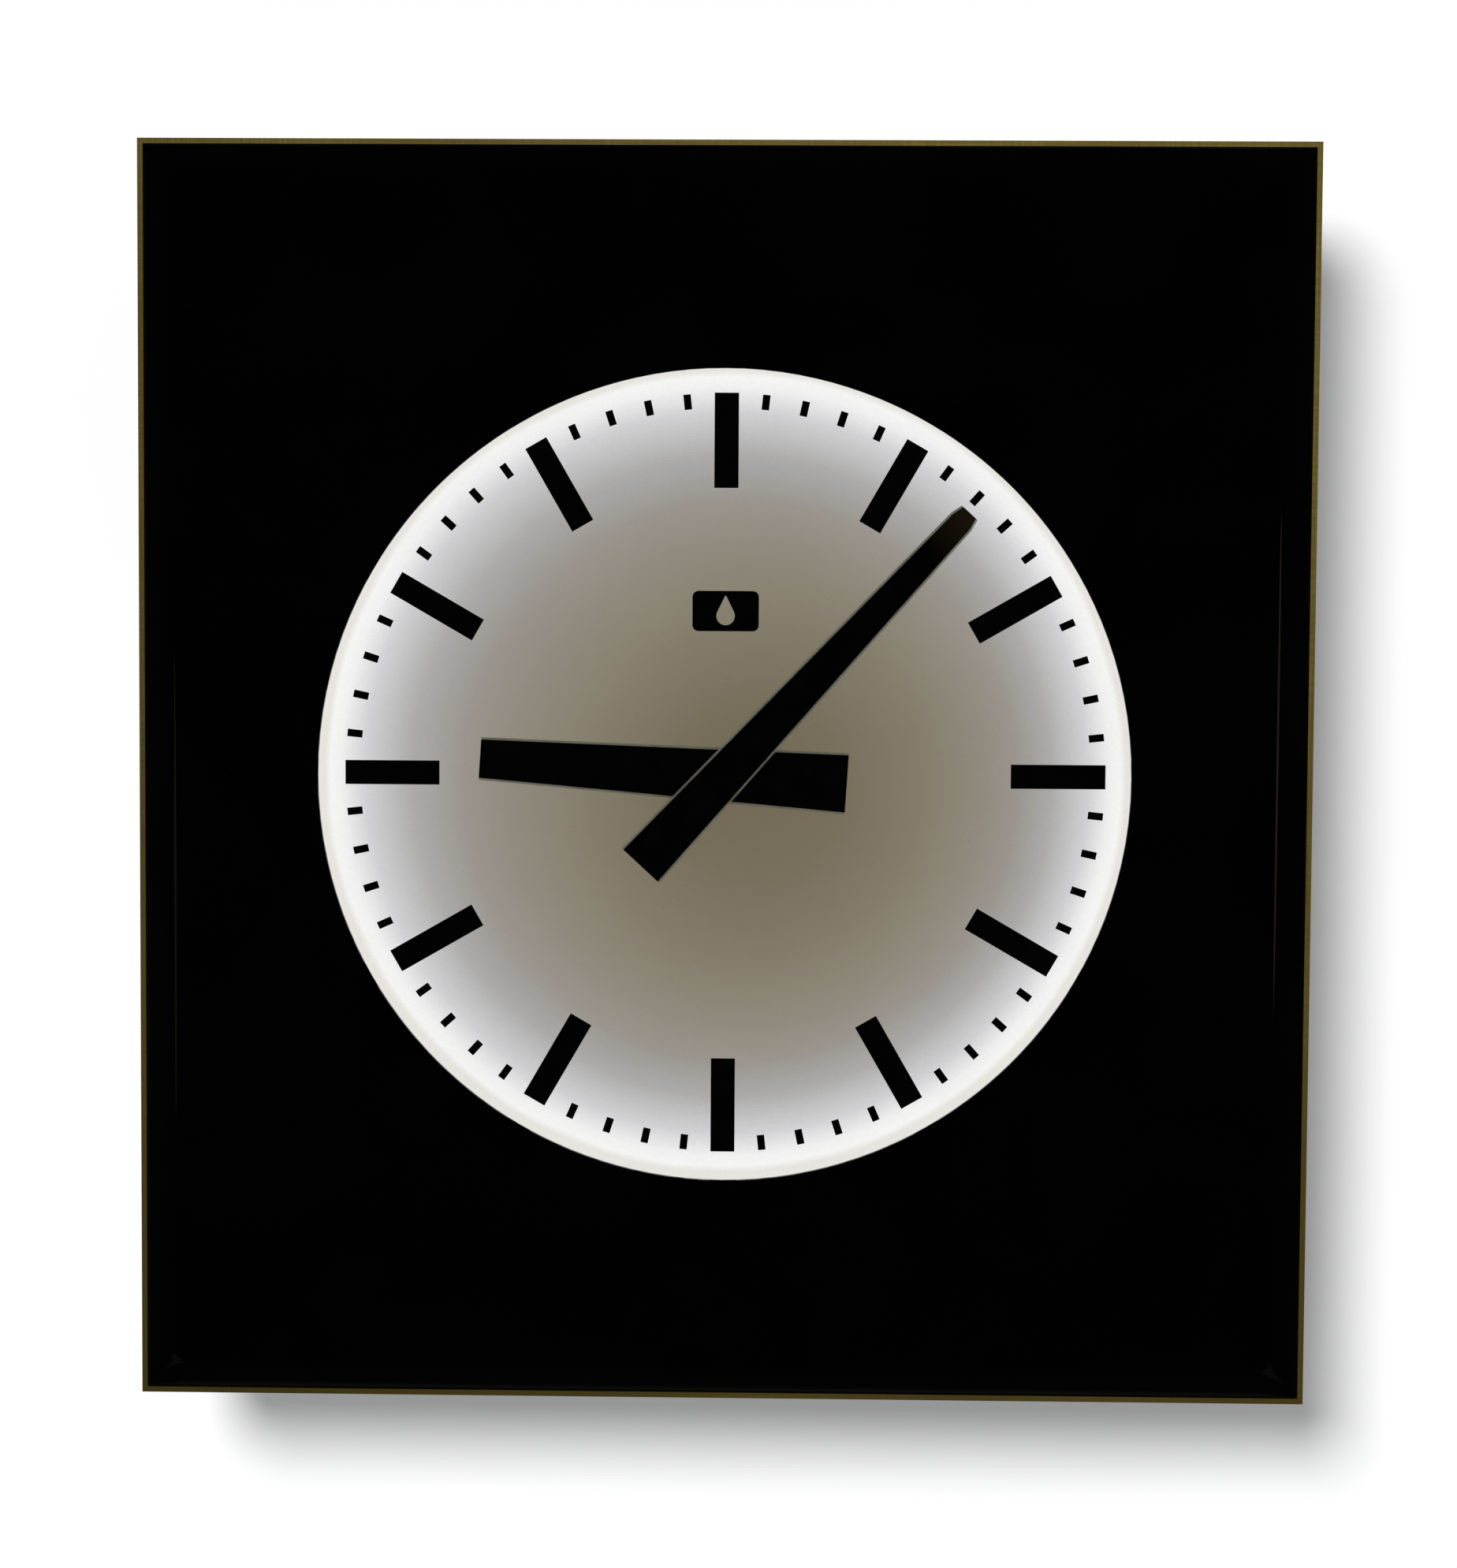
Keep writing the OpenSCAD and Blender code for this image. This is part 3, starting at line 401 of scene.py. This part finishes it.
def black_acrylic():
    """Polished, with a film from wiping, a few grains of dust and a slight waviness."""
    s = Surface("polished_black_acrylic", srgb(4, 4, 4), 0.05, ior=1.49)
    haze = s.spread(s.noise(11, 6, 0.62, distortion=0.4), 0.45, 0.75)
    grains = s.spread(s.cells(900), 0.0, 0.07, to_low=1.0, to_high=0.0)
    dust = s.maths("MULTIPLY", grains, s.spread(s.noise(30), 0.5, 0.72))
    film = s.mix(s.maths("MULTIPLY", haze, 0.5), srgb(0, 0, 0), srgb(3, 3, 4))
    s.drive("Base Color", s.mix(s.maths("MULTIPLY", dust, 0.25), film, srgb(40, 39, 37)))
    s.drive("Roughness", s.spread(haze, 0.0, 1.0, 0.035, 0.10))
    s.bump(s.noise(5, detail=1), 0.05, 2 * MM)
    return s.mat


# share of the opening's radius and colour there of the painted glow, which stands in for the ring lamp's
# light through the sheet
DIAL_PAINTED_GLOW = [
    (0.00, srgb(114, 106, 85)),
    (0.20, srgb(119, 111, 91)),
    (0.40, srgb(131, 124, 105)),
    (0.60, srgb(146, 140, 127)),
    (0.70, srgb(156, 150, 143)),
    (0.80, srgb(174, 173, 172)),
    (0.90, srgb(212, 212, 214)),
    (0.96, srgb(245, 245, 245)),
    (0.985, srgb(250, 250, 248)),
    (1.00, srgb(234, 232, 226)),
]
GLOW_LEAN = 0.66
GLOW_LEAN_LEFT = 0.88
GLOW_LEAN_UP = 0.47


def opal_dial():
    """Opal sheet with a painted glow standing in for the light of the ring lamp behind it: dim in the
    middle, brightest near the rim.
    """
    # the sheet's own colour is kept dark, so that the studio lamps add little on top of the painted glow
    s = Surface("opal_dial", srgb(38, 38, 36), 0.32, ior=1.49)
    axes = s.split()
    radius = s.from_axis()
    # the painted glow leans towards the upper left in the middle and is even near the rim
    leftward = s.maths("MULTIPLY", axes["X"], -GLOW_LEAN_LEFT / opening_r)
    upward = s.maths("MULTIPLY", axes["Z"], GLOW_LEAN_UP / opening_r)
    inward = s.maths("SUBTRACT", 1.0, s.maths("MINIMUM", radius, 1.0))
    lean = s.maths("MULTIPLY", s.maths("ADD", leftward, upward), s.maths("MULTIPLY", inward, inward))
    shifted = s.maths("ADD", radius, s.maths("MULTIPLY", lean, GLOW_LEAN))
    waves = s.maths("MULTIPLY", s.maths("SUBTRACT", s.noise(9, detail=2), 0.5), 0.03)
    glow = s.ramp(s.maths("ADD", shifted, waves), DIAL_PAINTED_GLOW)
    grain = s.spread(s.noise(900, detail=2), NOISE_LOW, NOISE_HIGH, 0.0, 0.05)
    s.drive("Base Color", s.mottled(srgb(36, 36, 33), srgb(40, 40, 38), scale=30))
    s.drive("Emission Color", s.mix(grain, glow, srgb(60, 56, 44)))
    s.drive("Emission Strength", 1.01)
    s.uneven_gloss(70, 0.26, 0.4)
    s.dimples(60, 0.03, 0.5 * MM)
    return s.mat


def black_print():
    s = Surface("black_print", srgb(5, 5, 5), 0.6)
    s.drive("Specular IOR Level", 0.12)
    s.drive("Base Color", s.mottled(srgb(1, 1, 1), srgb(5, 5, 5), scale=200))
    s.uneven_gloss(600, 0.5, 0.75)
    s.dimples(2500, 0.1, 0.1 * MM)
    return s.mat


def black_paint():
    s = Surface("satin_black_paint", srgb(4, 4, 4), 0.5)
    s.drive("Specular IOR Level", 0.18)
    s.drive("Base Color", s.mottled(srgb(1, 1, 1), srgb(5, 5, 4), scale=120))
    s.uneven_gloss(400, 0.42, 0.6)
    # near the rim the paint gets a faint warm painted glow, standing in for the lamp's light behind
    s.drive("Emission Color", srgb(22, 17, 8))
    s.drive("Emission Strength", s.spread(s.from_axis(), 0.74, 0.87))
    s.dimples(1800, 0.15, 0.1 * MM)
    return s.mat


def translucent_acrylic():
    """Pale carrier of the hands: part of the light goes straight through."""
    s = Surface("hand_acrylic", srgb(150, 148, 130), 0.3, ior=1.49)
    s.drive("Base Color", s.mottled(srgb(140, 138, 120), srgb(158, 156, 140), scale=60))
    s.uneven_gloss(120, 0.2, 0.45)
    # a faint painted glow stands in for the lamp's light caught in the pale carrier
    s.drive("Emission Color", srgb(120, 118, 96))
    s.drive("Emission Strength", 0.06)
    s.see_through(s.wander(90, 0.26, 0.34))
    return s.mat


def clear_acrylic():
    """Clear window: it reflects like polished acrylic and shows what is behind it."""
    s = Surface("clear_acrylic", srgb(6, 6, 6), 0.03, ior=1.49)
    fresnel = s.node("ShaderNodeFresnel")
    fresnel.inputs["IOR"].default_value = 1.49
    smears = s.spread(s.noise(14, 5, 0.6), 0.45, 0.8, 0.0, 0.03)
    cover = s.maths("ADD", fresnel.outputs["Fac"], smears)
    s.drive("Roughness", s.spread(s.noise(18, 5), 0.3, 0.8, 0.015, 0.09))
    s.drive("Specular IOR Level", 1.0)
    leaving = s.node("ShaderNodeNewGeometry").outputs["Backfacing"]
    s.see_through(s.maths("MAXIMUM", s.maths("SUBTRACT", 1.0, cover), leaving))
    return s.mat


def lamp_phosphor():
    s = Surface("lamp_phosphor", srgb(240, 240, 236), 0.2)
    s.drive("Base Color", s.mottled(srgb(228, 228, 222), srgb(244, 244, 240), scale=40))
    s.drive("Emission Color", srgb(255, 252, 240))
    s.drive("Emission Strength", 1.5)
    s.dimples(300, 0.05, 0.2 * MM)
    return s.mat


slot_materials = {
    "case_paint": case_paint(),
    "white_enamel": white_enamel(),
    "foam": foam(),
    "rubber_black": rubber(),
    "lamp_glass": lamp_phosphor(),
    "white_plastic": moulded("white_plastic", srgb(206, 204, 192), srgb(222, 220, 210), 0.4),
    "terminal_plastic": moulded("terminal_plastic", srgb(204, 198, 176), srgb(220, 215, 196), 0.35),
    "zinc_steel": zinc_steel(),
    "ballast_steel": ballast_steel(),
    "brass": brass(),
    "lead_brown": lead_cover("brown_insulation", srgb(70, 44, 28), srgb(96, 62, 40)),
    "lead_white": lead_cover("white_insulation", srgb(196, 194, 184), srgb(222, 220, 212)),
    "lead_blue": lead_cover("blue_insulation", srgb(30, 60, 110), srgb(44, 82, 144)),
    "opal_acrylic": opal_dial(),
    "black_print": black_print(),
    "black_paint": black_paint(),
    "hand_acrylic": translucent_acrylic(),
    "gold_anodised": gold_anodised(),
    "black_acrylic": black_acrylic(),
    "clear_acrylic": clear_acrylic(),
    "aluminium": aluminium(),
}

for slot, material in slot_materials.items():
    for cad_node in nodes_of(slot):
        cad_node.data.materials.clear()
        cad_node.data.materials.append(material)


# ---------- formed black face ----------

SIDE_STEPS = 40
CORNER_STEPS = 8
BEND_STEPS = 8


def rectangle_loop(half_x, half_z, corner, y):
    """Rounded rectangle facing -Y, counted from the lower right corner, the same count every time."""
    points = []
    corners = ((1, -1), (1, 1), (-1, 1), (-1, -1))
    for k, (side_x, side_z) in enumerate(corners):
        centre = Vector((side_x * (half_x - corner), y, side_z * (half_z - corner)))
        next_x, next_z = corners[(k + 1) % len(corners)]
        next_centre = Vector((next_x * (half_x - corner), y, next_z * (half_z - corner)))
        for i in range(CORNER_STEPS + 1):
            a = math.radians(90 * (k - 1 + i / CORNER_STEPS))
            points.append(centre + Vector((corner * math.cos(a), 0, corner * math.sin(a))))
        first = points[-1]
        last = first + next_centre - centre
        points += [first.lerp(last, i / SIDE_STEPS) for i in range(1, SIDE_STEPS)]
    return points


def circle_loop(radius, y, like):
    """Circle with a point in the direction of each point of another loop."""
    points = []
    for p in like:
        a = math.atan2(p.z, p.x)
        points.append(Vector((radius * math.cos(a), y, radius * math.sin(a))))
    return points


def border_sections(half_x, half_z, shoulder_y, top_y, border, bend, corner):
    """Loops up the sloping border and round the bend to the flat field."""
    slope = math.atan2(shoulder_y - top_y, border)
    centre_in = border + bend * math.tan(slope / 2)
    centre_y = top_y + bend
    corner_growth = 0.4
    loops = []
    for i in range(BEND_STEPS + 1):
        a = slope * (1 - i / BEND_STEPS)
        inset = centre_in - bend * math.sin(a)
        y = centre_y - bend * math.cos(a)
        loops.append(rectangle_loop(half_x - inset, half_z - inset, corner + corner_growth * inset, y))
    return loops


def ringed_mesh(name, loops):
    """Closed ring of quads through a list of loops, the last joined to the first."""
    bm = bmesh.new()
    rows = [[bm.verts.new(p) for p in loop] for loop in loops]
    for here, there in zip(rows, rows[1:] + rows[:1]):
        for i in range(len(here)):
            j = (i + 1) % len(here)
            bm.faces.new((here[i], here[j], there[j], there[i]))
    bmesh.ops.recalc_face_normals(bm, faces=bm.faces)
    mesh = bpy.data.meshes.new(name)
    bm.to_mesh(mesh)
    bm.free()
    for polygon in mesh.polygons:
        polygon.use_smooth = True
    mesh.set_sharp_from_angle(angle=math.radians(26))
    piece = bpy.data.objects.new(name, mesh)
    bpy.context.scene.collection.objects.link(piece)
    return piece


def formed_face():
    """Skirt, sloping border, rounded bend and flat field, with a polished opening, as one sheet."""
    slope = math.atan2(BORDER_RISE, BORDER_W)
    shoulder_y = field_y + BORDER_RISE
    inner_shoulder = shoulder_y + PANEL_T * math.tan((math.pi / 2 - slope) / 2)
    inner_border = BORDER_W - PANEL_T + PANEL_T * math.tan(slope / 2)
    inner_bend = BEND_R - PANEL_T
    x, z = panel_half_x, panel_half_z
    inner_x, inner_z = x - PANEL_T, z - PANEL_T
    outer_corner = 1.2 * MM
    inner_corner = 0.4 * MM
    eased = 0.1 * MM

    # outside: skirt, eased edge at the shoulder, border and bend
    edge = 0.6 * MM
    edge_start = edge * 0.2
    loops = [
        rectangle_loop(x, z, outer_corner, skirt_y),
        rectangle_loop(x, z, outer_corner, shoulder_y + edge),
        rectangle_loop(x - edge_start, z - edge_start, outer_corner + eased, shoulder_y + edge_start),
        rectangle_loop(x - edge, z - edge, outer_corner + 3 * eased, shoulder_y - edge * math.tan(slope)),
    ]
    loops += border_sections(x, z, shoulder_y, field_y, BORDER_W, BEND_R, outer_corner + eased)

    # opening, with its two edges polished round
    like = loops[-1]
    polish = 0.35 * MM
    polish_start = polish * 0.3
    field_ring = 6 * MM
    back_y = field_y + PANEL_T
    loops += [
        circle_loop(opening_r + field_ring, field_y, like),
        circle_loop(opening_r + polish, field_y, like),
        circle_loop(opening_r + polish_start, field_y + polish_start, like),
        circle_loop(opening_r, field_y + polish, like),
        circle_loop(opening_r, back_y - polish, like),
        circle_loop(opening_r + polish, back_y, like),
    ]

    # inside, back out to the end of the skirt
    loops += reversed(border_sections(inner_x, inner_z, inner_shoulder, back_y,
                                      inner_border, inner_bend, inner_corner + eased))
    loops.append(rectangle_loop(inner_x, inner_z, inner_corner, inner_shoulder))
    loops.append(rectangle_loop(inner_x, inner_z, inner_corner, skirt_y))

    piece = ringed_mesh("formed_face", loops)
    piece.data.materials.append(slot_materials["black_acrylic"])
    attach(piece, "door")
    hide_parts("face_panel")
    return piece


face = formed_face()


# ---------- wall and floor ----------

STAGE_REACH = 14.0
FLOOR_Z = object_bottom - 180 * MM
WALL_Y = 1.5 * MM
WALL_GLOW = 0.22
FLOOR_GLOW = 0.555


def stage_material(name, glow, see_back):
    """Even pale surface, partly lit from inside so that a shadow on it stays light and clean.
    A wall is open from behind, so that the back of the clock can be seen."""
    s = Surface(name, srgb(124, 124, 124), 0.9)
    s.drive("Specular IOR Level", 0.0)
    s.drive("Base Color", s.mottled(srgb(123, 123, 123), srgb(125, 125, 125), scale=1.5))
    s.drive("Emission Color", WHITE)
    s.drive("Emission Strength", glow)
    s.mat.cycles.emission_sampling = "NONE"
    if see_back:
        s.see_through(s.node("ShaderNodeNewGeometry").outputs["Backfacing"])
    return s.mat


def stage_plane(name, corners, glow, see_back=False):
    mesh = bpy.data.meshes.new(name)
    mesh.from_pydata(corners, [], [(0, 1, 2, 3)])
    plane = bpy.data.objects.new(name, mesh)
    bpy.context.scene.collection.objects.link(plane)
    mesh.materials.append(stage_material("pale_" + name, glow, see_back))
    plane.visible_glossy = False
    plane.visible_diffuse = False
    return plane


def wall_and_floor():
    r = STAGE_REACH
    upright = [(-r, WALL_Y, FLOOR_Z), (r, WALL_Y, FLOOR_Z), (r, WALL_Y, r), (-r, WALL_Y, r)]
    level = [(-r, -r, FLOOR_Z), (r, -r, FLOOR_Z), (r, r, FLOOR_Z), (-r, r, FLOOR_Z)]
    return (stage_plane("wall", upright, WALL_GLOW, see_back=True),
            stage_plane("floor", level, FLOOR_GLOW))


# ---------- light ----------

def aim(thing, direction):
    """Turns a lamp or a camera to look along a direction, upright."""
    thing.rotation_mode = "QUATERNION"
    thing.rotation_quaternion = Vector(direction).to_track_quat("-Z", "Y")


def new_lamp(name, kind, power):
    data = bpy.data.lights.new(name, kind)
    data.energy = power
    lamp = bpy.data.objects.new(name, data)
    bpy.context.scene.collection.objects.link(lamp)
    return lamp


def area_light(name, place, size, power, colour=(1, 1, 1), shape="RECTANGLE"):
    """Soft box aimed at the middle of the clock."""
    lamp = new_lamp(name, "AREA", power)
    lamp.data.shape = shape
    lamp.data.size, lamp.data.size_y = size
    lamp.data.color = colour
    lamp.location = place
    aim(lamp, -Vector(place))
    lamp.visible_camera = False
    return lamp


def only_lights(lamp, receivers):
    """The lamp lights only these objects, and everything still casts its shadow."""
    group = bpy.data.collections.new(lamp.name + "_receivers")
    for receiver in receivers:
        group.objects.link(receiver)
    lamp.light_linking.receiver_collection = group


def spares(lamp, objects):
    """The lamp lights everything but these objects."""
    only_lights(lamp, objects)
    for member in lamp.light_linking.receiver_collection.collection_objects:
        member.light_linking.link_state = "EXCLUDE"


def stage_sun(planes):
    """Soft light from the upper left that lights only the stage, on which the clock casts a shadow."""
    sun = new_lamp("stage_sun", "SUN", power=12.7)
    sun.data.angle = math.radians(21)
    aim(sun, (0.37, 1.0, -0.51))
    only_lights(sun, planes)


def studio_lights(stage):
    """General lights, warm side lamps that draw a thin line on each edge of the face, and cards
    that only metal sees."""
    edging = nodes_of("gold_anodised")
    behind_window = nodes_of("opal_acrylic", "black_print", "black_paint", "hand_acrylic")
    key = area_light("key", place=(-0.7, -1.6, 2.0), size=(0.7, 0.7), power=60, colour=(1.0, 0.98, 0.95))
    spares(key, stage + (face,) + behind_window + edging)
    for lamp in (
        area_light("side_left", place=(-1.27, -2.33, -0.27), size=(0.6, 0.56), power=0.12,
                   colour=(1.0, 0.92, 0.5), shape="ELLIPSE"),
        area_light("side_right", place=(1.49, -2.21, -0.11), size=(0.6, 0.6), power=0.32,
                   colour=(1.0, 0.85, 0.4), shape="ELLIPSE"),
        area_light("back_left", place=(-1.9, 1.8, 1.6), size=(1.2, 1.2), power=30),
        area_light("back_right", place=(2.2, 1.6, 0.9), size=(1.2, 1.2), power=20),
    ):
        spares(lamp, stage)
    metal_card = area_light("metal_card", place=(0.3, -2.6, 0.9), size=(2.2, 2.2), power=6)
    only_lights(metal_card, nodes_of("zinc_steel", "brass", "aluminium", "ballast_steel"))
    edge_card = area_light("edge_card", place=(0.4, -2.6, 1.0), size=(2.0, 2.0), power=19)
    only_lights(edge_card, edging)


def surroundings():
    """White to the camera, even and soft to matt surfaces. Polished ones find the studio dark in
    front, where the black face looks, with a dim card low on each side and light from behind."""
    world = bpy.data.worlds.new("studio")
    bpy.context.scene.world = world
    world.use_nodes = True
    # only scattered rays find the world, so that each kind of ray finds its own brightness
    world.cycles.sampling_method = "NONE"
    world.node_tree.nodes.clear()
    nodes = Nodes(world.node_tree)

    def background(colour, strength):
        node = nodes.node("ShaderNodeBackground")
        node.inputs["Color"].default_value = colour
        nodes.feed(node.inputs["Strength"], strength)
        return node.outputs["Background"]

    def choose(share, otherwise, then):
        node = nodes.node("ShaderNodeMixShader")
        nodes.link(share, node.inputs["Fac"])
        nodes.link(otherwise, node.inputs[1])
        nodes.link(then, node.inputs[2])
        return node.outputs["Shader"]

    direction = nodes.node("ShaderNodeTexCoord").outputs["Generated"]
    behind = nodes.vectors("DOT_PRODUCT", direction, (0, 1, 0))["Value"]
    # the left half of the studio is folded onto the right, so that one axis serves both cards
    sideways = nodes.vectors("MULTIPLY", nodes.vectors("ABSOLUTE", direction)["Vector"], (1, 0, 0))["Vector"]
    upright = nodes.vectors("MULTIPLY", direction, (0, 1, 1))["Vector"]
    folded = nodes.vectors("ADD", upright, sideways)["Vector"]
    card_axis = Vector((0.56, -0.56, -0.61)).normalized()
    card = nodes.vectors("DOT_PRODUCT", folded, card_axis)["Value"]
    from_behind = nodes.spread(behind, 0.15, 0.55, 0.012, 0.5, smooth=True)
    from_card = nodes.spread(card, 0.93, 0.995, 0.0, 0.06, smooth=True)

    ray = nodes.node("ShaderNodeLightPath").outputs
    matt = background((0.97, 0.98, 1.0, 1.0), 0.6)
    polished = background((0.95, 0.97, 1.0, 1.0), nodes.maths("ADD", from_behind, from_card))
    scattered = choose(ray["Is Glossy Ray"], matt, polished)
    out = nodes.node("ShaderNodeOutputWorld")
    nodes.link(choose(ray["Is Camera Ray"], scattered, background(WHITE, 1.0)), out.inputs["Surface"])


# ---------- camera ----------

LENS_MM = 74.8235
SENSOR_MM = 36.0


def camera():
    """Almost square on, a little above and to the right of the axis."""
    data = bpy.data.cameras.new("camera")
    data.sensor_width = SENSOR_MM
    data.lens = LENS_MM
    data.clip_start = 0.05
    data.clip_end = 60
    cam = bpy.data.objects.new("camera", data)
    bpy.context.scene.collection.objects.link(cam)
    cam.location = (0.0342, -1.7148, 0.0900)
    look_at = Vector((0.0001, 0.0, -0.0101))
    aim(cam, look_at - cam.location)
    roll = Quaternion((0, 0, 1), math.radians(0.352))
    cam.rotation_quaternion = cam.rotation_quaternion @ roll
    bpy.context.scene.camera = cam


surroundings()
stage = wall_and_floor()
stage_sun(stage)
studio_lights(stage)
camera()

bpy.context.scene.view_settings.view_transform = "Standard"
